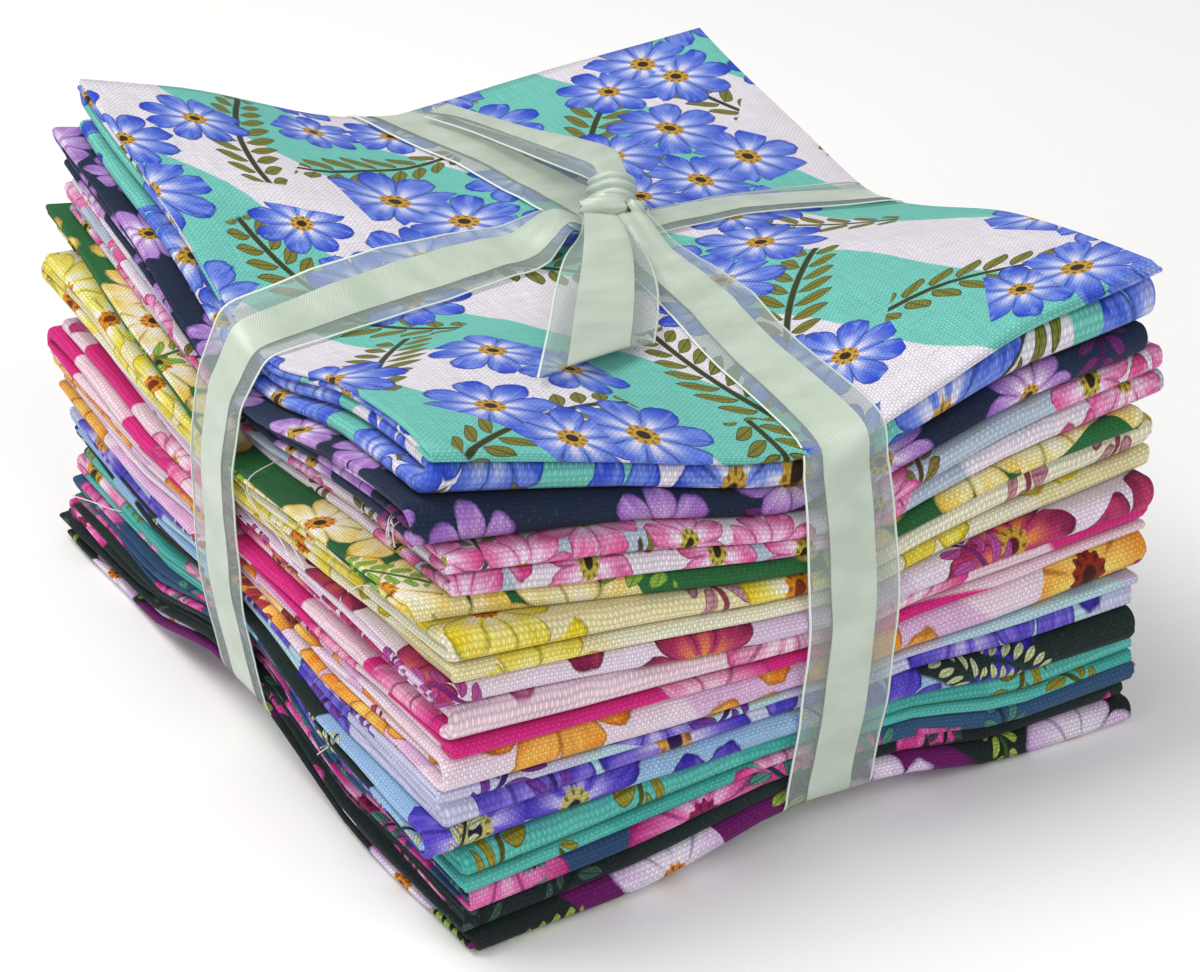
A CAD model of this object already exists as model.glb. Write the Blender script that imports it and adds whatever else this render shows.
# %% [markdown]
# # A bundle of fat quarters tied with ribbon
# A fat quarter is a piece of quilting cotton, cut 18 by 22 inches and folded into a small flat
# parcel. Shops stack them and tie the stack both ways with ribbon, as a parcel is tied. This
# lesson builds fourteen folded sheets, a satin ribbon with sheer edges and the knot on top,
# round a CAD frame that already has the right size and place.

# %% Load the frame
import math

import bpy
import numpy as np
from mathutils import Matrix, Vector, geometry


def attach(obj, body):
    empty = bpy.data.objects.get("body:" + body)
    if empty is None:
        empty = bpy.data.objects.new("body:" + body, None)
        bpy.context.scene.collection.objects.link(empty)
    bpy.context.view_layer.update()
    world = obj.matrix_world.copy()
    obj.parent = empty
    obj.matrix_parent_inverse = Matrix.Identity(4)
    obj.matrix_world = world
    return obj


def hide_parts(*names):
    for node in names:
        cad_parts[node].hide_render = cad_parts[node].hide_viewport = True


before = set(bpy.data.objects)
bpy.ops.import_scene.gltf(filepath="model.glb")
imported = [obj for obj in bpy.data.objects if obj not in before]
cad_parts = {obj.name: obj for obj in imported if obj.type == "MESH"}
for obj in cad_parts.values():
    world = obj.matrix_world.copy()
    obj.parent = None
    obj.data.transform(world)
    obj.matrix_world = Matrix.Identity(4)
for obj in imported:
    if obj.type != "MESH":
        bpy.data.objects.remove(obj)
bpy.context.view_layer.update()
bpy.ops.object.select_all(action="DESELECT")
scene = bpy.context.scene
MM = 0.001

# %% [markdown]
# ## Camera
# The camera comes first, because every later choice of detail depends on what it sees. It stands
# off the near corner and looks down on the stack, through a long lens that keeps the edges nearly
# parallel.

# %% Camera
camera_place = Vector((-240.7, -406.7, 285.9)) * MM
camera_target = Vector((-11.2, -26.1, 40.6)) * MM
camera_data = bpy.data.cameras.new("camera")
camera_data.sensor_width = 36
camera_data.lens = 102
camera = bpy.data.objects.new("camera", camera_data)
scene.collection.objects.link(camera)
camera.location = camera_place
camera.rotation_euler = (camera_target - camera_place).to_track_quat("-Z", "Y").to_euler()
scene.camera = camera
print("camera", round((camera_target - camera_place).length, 3), "m from the stack")

# %% [markdown]
# ## Floor and light
# The bundle stands on a plain white sweep under soft studio light: one large lamp above and
# behind the left for the shine on the satin, a broad one in front, a weak one at the left, and a
# pale room all round that fills the grooves between the folds.

# %% Floor and light
floor_size = 4.0
bpy.ops.mesh.primitive_plane_add(size=floor_size, location=(0, 0, -0.0002))
floor = bpy.context.object
floor.name = "floor"
floor_material = bpy.data.materials.new("white floor")
floor_material.use_nodes = True
floor_shader = floor_material.node_tree.nodes["Principled BSDF"]
floor_shader.inputs["Base Color"].default_value = (0.97, 0.97, 0.97, 1)
floor_shader.inputs["Roughness"].default_value = 0.9
floor.data.materials.append(floor_material)
floor.select_set(False)

LAMPS = {
    # name: (place, target, size, watts, colour)
    "key lamp": ((-0.35, 0.25, 0.85), (0.0, 0.0, 0.05), 0.55, 6.0, (1.0, 0.98, 0.95)),
    "front lamp": ((0.15, -0.95, 0.75), (0.0, 0.0, 0.04), 0.8, 4.4, (1.0, 1.0, 1.0)),
    "side lamp": ((-0.95, -0.2, 0.45), (0.0, 0.0, 0.04), 0.6, 2.0, (0.96, 0.98, 1.0)),
}
for lamp_name, (place, target, size, watts, colour) in LAMPS.items():
    lamp_data = bpy.data.lights.new(lamp_name, "AREA")
    lamp_data.size = size
    lamp_data.energy = watts
    lamp_data.color = colour
    lamp = bpy.data.objects.new(lamp_name, lamp_data)
    lamp.location = place
    lamp.rotation_euler = (Vector(target) - Vector(place)).to_track_quat("-Z", "Y").to_euler()
    scene.collection.objects.link(lamp)

world = bpy.data.worlds.new("white room")
world.use_nodes = True
world.node_tree.nodes["Background"].inputs["Color"].default_value = (1, 1, 1, 1)
world.node_tree.nodes["Background"].inputs["Strength"].default_value = 0.38
scene.world = world
scene.view_settings.view_transform = "Standard"
print("lamps:", ", ".join(LAMPS))

# %% [markdown]
# ## The height of the stack
# The ribbon pulls the stack in along two bands, and the corners stand up between them, so the
# top is a saddle and the bottom an arch. The table gives heights in millimetres where crease lines
# cross. A grid is filled from it and softened, because cloth has no sharp creases here.

# %% Height of the stack
crease_x = np.array([-58.0, -30.0, -6.5, 14.0, 32.0, 55.0])
crease_y = np.array([-68.8, -51.8, -31.8, -7.8, 11.2, 34.2, 71.2])
top_heights = np.array([
    # left, leftRise, bandLeft, bandRight, rightRise, right, from the front row to the back row
    [78.4, 70.4, 63.4, 67.4, 75.9, 79.9],
    [76.9, 71.4, 64.4, 66.9, 73.9, 76.4],
    [73.4, 71.4, 65.4, 65.9, 70.4, 71.9],
    [64.4, 64.9, 64.9, 64.9, 65.4, 63.4],
    [66.9, 65.4, 64.9, 64.9, 63.4, 60.4],
    [74.4, 70.9, 64.9, 64.4, 64.9, 63.9],
    [81.4, 74.4, 64.4, 62.9, 65.4, 68.4],
])
arch_height = 7.4
arch_along_x = np.array([0, 0, 0.7, 0.7, 0, 0])
arch_along_y = np.array([0, 0, 0, 1, 1, 0, 0])
grid_step = 2.0
grid_x = np.arange(-90, 90.1, grid_step)
grid_y = np.arange(-100, 100.1, grid_step)
BLUR_STEPS = 9


def bell(distance):
    """A bell curve: 1 at distance 0, and next to nothing past 2."""
    return np.exp(-(distance**2))


def line_value(values, lines, place):
    """Values between crease lines, and in a straight line past the last of them."""
    cell = np.clip(np.searchsorted(lines, place) - 1, 0, len(lines) - 2)
    part = (place - lines[cell]) / (lines[cell + 1] - lines[cell])
    return values[cell] * (1 - part) + values[cell + 1] * part


def softened(grid, reach):
    """The grid blurred by a bell curve of that reach, in millimetres."""
    steps = np.arange(-BLUR_STEPS, BLUR_STEPS + 1) * grid_step
    weights = np.exp(-0.5 * (steps / reach) ** 2)
    weights /= weights.sum()
    for axis in (0, 1):
        edge = [(BLUR_STEPS, BLUR_STEPS) if n == axis else (0, 0) for n in range(2)]
        padded = np.pad(grid, edge, mode="reflect", reflect_type="odd")
        grid = np.apply_along_axis(lambda line: np.convolve(line, weights, "valid"), axis, padded)
    return grid


along_y = np.array([line_value(row, crease_x, grid_x) for row in top_heights])
top_grid = np.array([line_value(along_y[:, n], crease_y, grid_y) for n in range(len(grid_x))])
flat_x = 1 - line_value(arch_along_x, crease_x, grid_x)
flat_y = 1 - line_value(arch_along_y, crease_y, grid_y)
arch_grid = arch_height * (1 - np.outer(flat_x, flat_y))
top_grid = softened(top_grid, 4.0)
arch_grid = softened(arch_grid, 3.0)
RIBBON_BITES = [
    # where the ribbon bends over an edge: x, y, reach along x and y, depth
    (3.5, -72, 7, 14, 2.0), (-60, 2, 14, 7, 1.2), (4, 72, 7, 14, 1.2), (60, 3, 14, 7, 1.2),
]
for x, y, reach_x, reach_y, depth in RIBBON_BITES:
    top_grid -= depth * np.outer(bell((grid_x - x) / reach_x), bell((grid_y - y) / reach_y))


def sampled(grid, x, y):
    """The grid's value between its points."""
    at_x = np.clip((x - grid_x[0]) / grid_step, 0, len(grid_x) - 1.001)
    at_y = np.clip((y - grid_y[0]) / grid_step, 0, len(grid_y) - 1.001)
    cell_x, cell_y = at_x.astype(int), at_y.astype(int)
    part_x, part_y = at_x - cell_x, at_y - cell_y
    near = grid[cell_x, cell_y] * (1 - part_x) + grid[cell_x + 1, cell_y] * part_x
    far = grid[cell_x, cell_y + 1] * (1 - part_x) + grid[cell_x + 1, cell_y + 1] * part_x
    return near * (1 - part_y) + far * part_y


print("stack:", round(float(top_grid.min()), 1), "to", round(float(top_grid.max()), 1), "mm high")

# %% [markdown]
# ## Unevenness
# Hand-folded cloth is never straight, but it is smooth. A few long sine waves with fixed, seeded
# phases give every edge its own slow wander. Soft creases placed by hand in the top cloth follow
# the pull of the ribbon.

# %% Unevenness
def wander(seed, x, y, wavelength):
    """A smooth unevenness between about -1 and 1."""
    rng = np.random.default_rng(seed)
    total = 0
    for _ in range(4):
        angle, phase = rng.uniform(0, 2 * math.pi, 2)
        length = wavelength * rng.uniform(0.6, 1.6)
        along = x * math.cos(angle) + y * math.sin(angle)
        total = total + np.sin(along * 2 * math.pi / length + phase)
    return total / 2.6


TOP_CREASES = [
    # from x, y to x, y, half width, height: ridges are above 0 and troughs below it
    (-16, 16, -46, 42, 3.5, 0.7),
    (-10, 24, -34, 62, 4.0, -0.6),
    (20, 20, 44, 44, 4.0, 0.6),
    (24, 10, 56, 22, 3.5, -0.5),
    (-18, -14, -44, -36, 4.0, 0.6),
    (-10, -24, -26, -58, 3.5, -0.5),
    (22, -16, 46, -40, 4.0, 0.5),
    (18, -34, 30, -64, 3.5, -0.4),
]
# The front edge of the top cloth lies at y = FRONT_EDGE + FRONT_EDGE_SLOPE * x, in millimetres.
FRONT_EDGE, FRONT_EDGE_SLOPE = -68.0, -0.07
ROLL_DEPTH, ROLL_DROP = 11.0, 1.3


def creased(x, y):
    """The height that the creases of the top cloth add, in millimetres."""
    height = 0
    for x0, y0, x1, y1, half_width, rise in TOP_CREASES:
        length = math.hypot(x1 - x0, y1 - y0)
        along = ((x - x0) * (x1 - x0) + (y - y0) * (y1 - y0)) / length
        off = ((x - x0) * (y1 - y0) - (y - y0) * (x1 - x0)) / length
        ends = np.clip(np.minimum(along / 8, (length - along) / 14), 0, 1)
        height = height + rise * ends * ends * (3 - 2 * ends) * bell(off / half_width)
    # Left of the ribbon the front edge rolls over softly, because nothing pulls it flat.
    behind_edge = y - (FRONT_EDGE + FRONT_EDGE_SLOPE * x)
    roll = np.clip(1 - behind_edge / ROLL_DEPTH, 0, 1) ** 2
    left_of_ribbon = np.clip((-8 - x) / 14, 0, 1)
    return height - ROLL_DROP * roll * left_of_ribbon


print(len(TOP_CREASES), "soft creases in the top cloth")

# %% [markdown]
# ## How a fat quarter is folded
# The cut is folded in four along its 18 inches, which makes a strip of four layers with one
# rounded edge at the left. That strip is then folded in four along its 22 inches. Either the last
# fold wraps all the others, and one broad round fold shows at the front, or the strip goes back
# and forth, and two folds show. Each row below says which, and how the parcel lies in the stack.

# %% Rows of the stack
inch = 25.4
folded_width = 18 * inch / 4
folded_depth = 22 * inch / 4
SHARE_PLACES = np.array([-folded_width / 2, -30.0, folded_width / 2])

ROWS = [
    # near, rise, right: share of the height. upper: its first fold's part, or None for one broad
    # fold. shift x, shift y, turn: its place. loose x, loose y: how loosely it is folded
    (11.4, 10.1, 12.5, 0.27, 2.4, 1.9, -4.1, 0.0, 0.0),
    (8.6, 6.2, 6.2, None, -0.3, 1.7, -3.7, 1.4, 1.1),
    (8.4, 10.1, 10.0, 0.48, 1.1, 0.1, -2.1, 1.5, 1.8),
    (4.9, 4.4, 4.8, None, -1.6, 0.4, -3.6, 2.7, 2.3),
    (10.3, 9.4, 10.0, 0.62, -1.6, -0.2, -0.5, 2.2, 2.8),
    (4.9, 5.7, 6.6, None, -0.9, -1.5, -3.0, 2.7, 2.8),
    (10.1, 9.0, 7.1, 0.68, -1.8, -0.5, -0.6, 2.2, 2.3),
    (7.3, 8.0, 8.4, None, -1.6, -0.9, -1.1, 2.7, 1.8),
    (8.0, 6.1, 7.1, 0.3, -1.5, -0.7, -2.0, 2.2, 1.3),
    (6.0, 6.6, 7.6, None, -1.4, -1.0, -3.2, 2.7, 1.3),
    (8.4, 8.7, 7.1, 0.68, -0.1, 0.0, -1.1, 1.5, 0.8),
    (4.4, 5.2, 5.0, None, 0.2, -0.1, -0.2, 1.2, 0.8),
    (4.5, 5.2, 4.9, None, -1.1, 0.9, 0.3, 0.7, 0.3),
    (4.6, 6.8, 4.9, None, -0.8, 0.1, 0.2, 1.2, 0.8),
]
row_shares = np.array([row[:3] for row in ROWS])


def edge_share(index, x, y):
    """The height of the surface above a fat quarter, as a share of the stack's height."""
    at_x = [line_value(shares, SHARE_PLACES, x) for shares in row_shares]
    share = 1 - sum(at_x[:index]) / sum(at_x)
    if 0 < index < len(ROWS):
        share = share + 0.0035 * wander(200 + index, x, y, 42.0)
    return share


print(len(ROWS), "fat quarters, folded to", round(folded_width, 1), "by", round(folded_depth, 1), "mm")

# %% [markdown]
# ## The fold as a path
# A folded sheet is two zigzags at once: one across and one from front to back. Each is a list of
# stations with straight runs and half-circle turns. Across, a station says how far along the run
# it is, how far it bulges past the end, and on which of the strip's four layers it lies. From
# front to back, it also says how the strip's own thickness is turned.

# %% Path across the cloth
LAYERS = 16


def run(start, end, steps):
    """Evenly spread places between start and end, without those two."""
    return np.linspace(start, end, steps + 1)[1:-1]


def half_turn(steps):
    """The angles of a half circle, from one end to the other."""
    return np.linspace(0, math.pi, steps + 1)


def across_path(steps):
    """Stations (part of the run, bulge, layer), with bulge and layer in layers of cloth."""
    stations = [(1.0, 0.4, -0.5)]
    stations += [(part, 0.0, -0.5) for part in run(1, 0, steps)]
    stations += [(0.0, -0.5 * math.sin(a), -0.5 * math.cos(a)) for a in half_turn(4)]
    stations += [(part, 0.0, 0.5) for part in run(0, 1, steps)]
    stations += [(1.0, 0.5 * math.sin(a), 1 - 0.5 * math.cos(a)) for a in half_turn(4)]
    stations += [(part, 0.0, 1.5) for part in run(1, 0, steps)]
    stations += [(0.0, -1.5 * math.sin(a), 1.5 * math.cos(a)) for a in half_turn(8)]
    stations += [(part, 0.0, -1.5) for part in run(0, 1, steps)]
    stations += [(1.0, -1.5, -1.5)]
    return np.array(stations).T


def along_path(broad, run_steps):
    """Stations (part, bulge, level, level turn, bulge turn, panel) from front, 0, to back, 1."""
    stations = []

    def panel(level, facing, start, end, number):
        for part in run(start, end, run_steps):
            stations.append((part, 0.0, level, facing, 0.0, number))

    def turn(centre, radius, facing, side, down, number, steps):
        # side is -1 at the front and 1 at the back, down is 1 where the strip turns downwards
        for n, angle in enumerate(half_turn(steps)):
            stations.append((
                0.0 if side < 0 else 1.0,
                side * radius * math.sin(angle),
                centre - down * radius * math.cos(angle),
                -down * facing * math.cos(angle),
                side * facing * math.sin(angle),
                number + n / steps,
            ))

    stations.append((1.0, -2.5, 10.0 if broad else 2.0, -1, 0.0, 0))
    if broad:
        panel(10, -1, 1, 0, 0)
        turn(8, 2, -1, -1, -1, 0, 8)
        panel(6, 1, 0, 1, 1)
        turn(4, 2, 1, 1, -1, 1, 8)
        panel(2, -1, 1, 0, 2)
        turn(8, 6, 1, -1, 1, 2, 16)
    else:
        panel(2, -1, 1, 0, 0)
        turn(4, 2, 1, -1, 1, 0, 12)
        panel(6, 1, 0, 1, 1)
        turn(8, 2, -1, 1, 1, 1, 8)
        panel(10, -1, 1, 0, 2)
        turn(12, 2, 1, -1, 1, 2, 12)
    panel(14, 1, 0, 1, 3)
    stations.append((1.0, -1.0, 14.0, 1, 0.0, 3))
    return np.array(stations).T


print("stations:", across_path(17).shape[1], "across,", along_path(True, 19).shape[1], "along")

# %% [markdown]
# ## From path to sheet
# Both paths meet in a grid of points. The grid is laid out flat, turned to the parcel's own place
# in the stack, and lifted to its share of the stack's height. Its flat-cloth place goes into a UV
# map, in metres, so that a print runs on through every fold. Last, the surface is given its
# thickness on both sides, which makes a closed sheet.

# %% Sheet maker
CLOTH_THICKNESS = 0.2


def closed_sheet(name, points, flat, thickness):
    """A closed sheet through a grid of points in millimetres. flat holds the UV place of each."""
    rows, columns = points.shape[:2]
    normal = np.cross(np.gradient(points, axis=0), np.gradient(points, axis=1))
    normal /= np.maximum(np.linalg.norm(normal, axis=2, keepdims=True), 1e-9)
    outer = points + normal * thickness / 2
    inner = points - normal * thickness / 2
    number = np.arange(rows * columns).reshape(rows, columns)
    quads = np.stack([number[:-1, :-1], number[1:, :-1], number[1:, 1:], number[:-1, 1:]], -1)
    quads = quads.reshape(-1, 4)
    count = rows * columns
    rim = np.concatenate([number[0, :], number[1:, -1], number[-1, -2::-1], number[-2:0:-1, 0]])
    after = np.roll(rim, -1)
    faces = np.concatenate([
        quads,
        quads[:, ::-1] + count,
        np.stack([rim, after, after + count, rim + count], -1),
    ])
    mesh = bpy.data.meshes.new(name)
    vertices = np.concatenate([outer.reshape(-1, 3), inner.reshape(-1, 3)]) * MM
    mesh.from_pydata(vertices, [], faces.tolist())
    uv_layer = mesh.uv_layers.new(name="flat cloth")
    both = np.concatenate([flat.reshape(-1, 2), flat.reshape(-1, 2)])
    uv_layer.data.foreach_set("uv", both[faces.ravel()].astype(np.float32).ravel())
    side = mesh.attributes.new("wrong_side", "FLOAT", "POINT")
    side.data.foreach_set("value", np.repeat([0.0, 1.0], count).astype(np.float32))
    mesh.shade_smooth()
    mesh.update()
    piece = bpy.data.objects.new(name, mesh)
    scene.collection.objects.link(piece)
    return piece


def outward(points, flat, seen_from):
    """The same grid, turned over if its first side doesn't face seen_from at its middle."""
    middle = points.shape[0] // 2, points.shape[1] // 2
    along, over = np.gradient(points, axis=0)[middle], np.gradient(points, axis=1)[middle]
    if np.dot(np.cross(along, over), seen_from) < 0:
        return points[::-1], flat[::-1]
    return points, flat


# %% Fold one fat quarter
def distances(*coordinates):
    """How far along a path each of its points is."""
    steps = np.sqrt(sum(np.diff(c) ** 2 for c in coordinates))
    return np.concatenate([[0], np.cumsum(steps)])


def fat_quarter_points(index):
    """The grid of points of one folded fat quarter, and their places on the flat cloth."""
    upper, shift_x, shift_y, turn, loose_x, loose_y = ROWS[index][3:]
    steps = 40 if index == 0 else 17
    across, across_bulge, layer = (a[:, None] for a in across_path(steps))
    along, along_bulge, level, level_turn, bulge_turn, panel = (
        a[None, :] for a in along_path(upper is None, steps + 2))
    split = 0.5 if upper is None else upper
    lower = np.clip(panel - 1, 0, 1)
    angle = math.radians(turn)
    half_x, half_y = (folded_width + loose_x) / 2, (folded_depth + loose_y) / 2

    # The height of one layer at each place decides how wide the turns are there.
    part_height = (1 - lower) * split + lower * (1 - split)
    guess_x = shift_x + (2 * across - 1) * half_x
    share_height = edge_share(index, guess_x, 0) - edge_share(index + 1, guess_x, 0)
    edge_y = np.where(along > 0.5, half_y, -half_y)
    edge_place = guess_x + 0 * edge_y, edge_y + 0 * guess_x
    stack_height = sampled(top_grid, *edge_place) - sampled(arch_grid, *edge_place)
    pitch = 2 * part_height * share_height * stack_height / LAYERS

    # Across: each panel of the strip ends a little further out or in at the left.
    rng = np.random.default_rng(40 + index)
    panel_out = rng.uniform(-0.9, 0.9, 4)
    stagger = np.interp(panel, np.arange(4), panel_out)
    left = -half_x + 1.5 * pitch + stagger + 0.5 * wander(60 + index, along * 140, panel * 30, 60.0)
    right_end = half_x - 0.5 * pitch + 0.7 * wander(80 + index, along * 140, panel * 40, 70.0)
    plan_u = left * (1 - across) + right_end * across + across_bulge * pitch

    # Along: the turns have their middles where their outside reaches the cloth's full depth.
    fold_reach = 8 if upper is None else 4
    front = -half_y + fold_reach * pitch + 0.45 * wander(100 + index, plan_u, 9 * np.round(panel), 55.0)
    back = half_y - 4 * pitch - 1.2 + 0.6 * wander(120 + index, plan_u, 30 * panel, 50.0)
    plan_v = front * (1 - along) + back * along + (along_bulge + layer * bulge_turn) * pitch
    at_level = level + layer * level_turn

    x = shift_x + plan_u * math.cos(angle) - plan_v * math.sin(angle)
    y = shift_y + plan_u * math.sin(angle) + plan_v * math.cos(angle)
    depth = np.interp(at_level, [0, LAYERS / 2, LAYERS], [0, split, 1])
    share = edge_share(index, x, y) * (1 - depth) + edge_share(index + 1, x, y) * depth
    bottom = sampled(arch_grid, x, y)
    z = bottom + share * (sampled(top_grid, x, y) - bottom)
    if index == 0:
        z = z + creased(x, y) * np.clip(1 - at_level / LAYERS, 0, 1)
    points = np.stack([x, y, z], -1)

    mean_pitch = float(pitch.mean())
    run_x = across[:, 0] * 2 * half_x + across_bulge[:, 0] * mean_pitch
    run_y = along[0] * 2 * half_y + along_bulge[0] * mean_pitch
    flat_u = distances(run_x, layer[:, 0] * mean_pitch)
    flat_v = distances(run_y, level[0] * mean_pitch)
    flat = np.stack(np.broadcast_arrays(flat_u[:, None] * MM, flat_v[None, :] * MM), -1)
    return points, flat


QUARTERS = (0, 0.25, 0.5, 0.75)
stack_points = []
cloths = []
for index in range(len(ROWS)):
    points, flat = fat_quarter_points(index)
    # The ribbon and the threads are fitted to these points, so they lie closer than the grid's.
    for part in QUARTERS:
        between = points[:-1] * (1 - part) + points[1:] * part
        for share in QUARTERS:
            closer = between[:, :-1] * (1 - share) + between[:, 1:] * share
            stack_points.append(closer.reshape(-1, 3))
    cloths.append(closed_sheet(f"cloth_{index + 1:02d}", points, flat, CLOTH_THICKNESS))
stack_points = np.concatenate(stack_points)
print("cloth box", stack_points.min(0).round(1), stack_points.max(0).round(1))

# %% [markdown]
# ## Loose threads
# Cut cotton frays, and a few threads hang out at the left, where the cut ends lie. Each is drawn as
# a curve that starts inside the cloth, lies against the side and ends free. A round bevel makes it
# a thread, and it is turned into a mesh that belongs to its fat quarter.

# %% Loose threads
THREAD_RADIUS, THREAD_POINTS = 0.11, 24
REACH = 1.2  # millimetres: how near a point of the cloth counts, for threads and ribbon
THREADS = [
    # fat quarter, then points: from front to back, height, and distance out from the side
    (5, [(-39.0, 43.5, -2.0), (-40.5, 44.8, 0.3), (-45.4, 48.4, 0.4), (-52.4, 52.7, 0.3),
        (-58.0, 56.2, 1.2)]),
    (5, [(-6.0, 46.0, -2.0), (-7.4, 45.3, 0.3), (-12.6, 44.4, 0.6), (-20.4, 44.0, 0.3),
        (-28.4, 43.2, 1.4)]),
    (5, [(-11.0, 51.0, -2.0), (-12.1, 49.4, 0.4), (-13.9, 44.8, 0.9), (-19.0, 43.0, 0.5),
        (-25.9, 41.8, 1.6)]),
    (12, [(-23.0, 6.8, -2.0), (-24.3, 8.0, 0.4), (-29.6, 12.8, 0.6), (-35.4, 17.0, 1.5)]),
    (13, [(50.0, 12.5, -2.0), (51.6, 12.4, 0.4), (59.0, 11.0, 1.2), (65.0, 9.4, 2.0)]),
    (2, [(-55.0, 64.4, -1.5), (-56.2, 64.4, 0.5), (-58.4, 63.0, 1.6)]),
    (2, [(-56.2, 64.6, -1.5), (-57.2, 64.8, 0.5), (-59.6, 65.2, 1.4)]),
    (2, [(-57.0, 64.2, -1.5), (-57.8, 63.8, 0.6), (-59.4, 61.8, 1.5)]),
    (2, [(-55.6, 64.0, -1.5), (-56.0, 63.2, 0.6), (-56.4, 61.6, 1.3)]),
]


def smooth_line(points, count):
    """Evenly spread points on a smooth curve through the given ones."""
    points = np.array(points, float)
    ends = np.concatenate([[2 * points[0] - points[1]], points, [2 * points[-1] - points[-2]]])
    spots = np.linspace(0, len(points) - 1.0001, count)
    cell = spots.astype(int)
    t = (spots - cell)[:, None]
    a, b, c, d = ends[cell], ends[cell + 1], ends[cell + 2], ends[cell + 3]
    squared, cubed = 2 * a - 5 * b + 4 * c - d, 3 * b - a - 3 * c + d
    return 0.5 * (2 * b + (c - a) * t + squared * t**2 + cubed * t**3)


def beside_stack(y, z, out):
    """The point out from the left side of the stack at that place and height."""
    near = (np.abs(stack_points[:, 1] - y) < REACH) & (np.abs(stack_points[:, 2] - z) < REACH)
    return (stack_points[near, 0].min() - out, y, z)


loose_threads = []
for number, (quarter, stops) in enumerate(THREADS):
    curve = bpy.data.curves.new(f"thread_{number + 1}", "CURVE")
    curve.dimensions = "3D"
    curve.bevel_depth = THREAD_RADIUS * MM
    curve.bevel_resolution = 1
    curve.use_fill_caps = True
    line = smooth_line([beside_stack(*stop) for stop in stops], THREAD_POINTS) * MM
    spline = curve.splines.new("POLY")
    spline.points.add(len(line) - 1)
    spline.points.foreach_set("co", np.c_[line, np.ones(len(line))].ravel())
    thread = bpy.data.objects.new(curve.name, curve)
    scene.collection.objects.link(thread)
    bpy.context.view_layer.objects.active = thread
    thread.select_set(True)
    bpy.ops.object.convert(target="MESH")
    thread = bpy.context.object
    thread.select_set(False)
    thread.data.shade_smooth()
    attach(thread, "root")
    loose_threads.append((quarter, thread))
print(len(loose_threads), "loose threads")

for index, cloth in enumerate(cloths):
    node = f"fat_quarter_{index + 1:02d}"
    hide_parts(node)
    f"cotton_{index + 1:02d}"
    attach(cloth, "root")
    below = "floor" if index == len(cloths) - 1 else cloths[index + 1].name
    own_threads = [thread for quarter, thread in loose_threads if quarter == index + 1]
print(len(cloths), "sheets,", sum(len(c.data.polygons) for c in cloths), "faces")

# %% [markdown]
# ## The ribbon round the stack
# The ribbon is 15 mm wide: satin in the middle, a sheer band on each side and a firm white edge.
# Pulled tight, it takes the shortest way round, so it bridges the hollows between the folds. A
# convex wrapping of the cloth under it, found in thin slices, gives just that. A table says how
# far the ribbon wanders and how much it is gathered on its way to the knot.

# %% Tight wrapping
RIBBON_WIDTH, RIBBON_THICKNESS = 15.0, 0.2
RIBBON_COLUMNS = 27
SHEER_SHARE, SATIN_SHARE = 0.27, 0.46
LOOP_MIDDLE = 35.0
KNOT_ANGLE, CROSSING_ANGLE = 90, 270  # degrees: straight up, and under the stack
SLICES_FROM, SLICES_TO, SLICE_STEP = -16, 27, 2.0
RIBBON_CLEAR, RIBBON_WANDER = 0.4, 0.12  # millimetres off the cloth
TUCK = 0.13  # how much of the width each sheer band loses where the ribbon is gathered
GATHERED_RISE = 1.3  # millimetres that the gathered ribbon arches up
loop_angles = np.radians(np.arange(0, 360.01, 0.75))


def wrap_distances(across, along, places, clear):
    """How far the cloth's tight wrapping is from the loop's middle, by place and angle."""
    table = []
    for place in places:
        near = stack_points[np.abs(stack_points[:, across] - place) < REACH]
        flat = [Vector((p[along], p[2] - LOOP_MIDDLE)) for p in near]
        corners = np.array([flat[n] for n in geometry.convex_hull_2d(flat)])
        sides = np.roll(corners, -1, axis=0) - corners
        away = np.stack([sides[:, 1], -sides[:, 0]], -1)
        away /= np.maximum(np.linalg.norm(away, axis=1, keepdims=True), 1e-9)
        distance = (corners * away).sum(axis=1)
        away *= np.sign(distance)[:, None]
        distance = np.abs(distance) + clear
        facing = np.outer(np.cos(loop_angles), away[:, 0]) + np.outer(np.sin(loop_angles), away[:, 1])
        reach = np.where(facing > 1e-3, distance / np.maximum(facing, 1e-3), 1e9).min(axis=1)
        table.append(reach)
    table = np.array(table)
    round_off = np.exp(-0.5 * (np.arange(-4, 5) / 1.3) ** 2)
    round_off /= round_off.sum()
    padded = np.concatenate([table[:, -5:-1], table, table[:, 1:5]], axis=1)
    return np.array([np.convolve(row, round_off, "valid") for row in padded])


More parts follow.
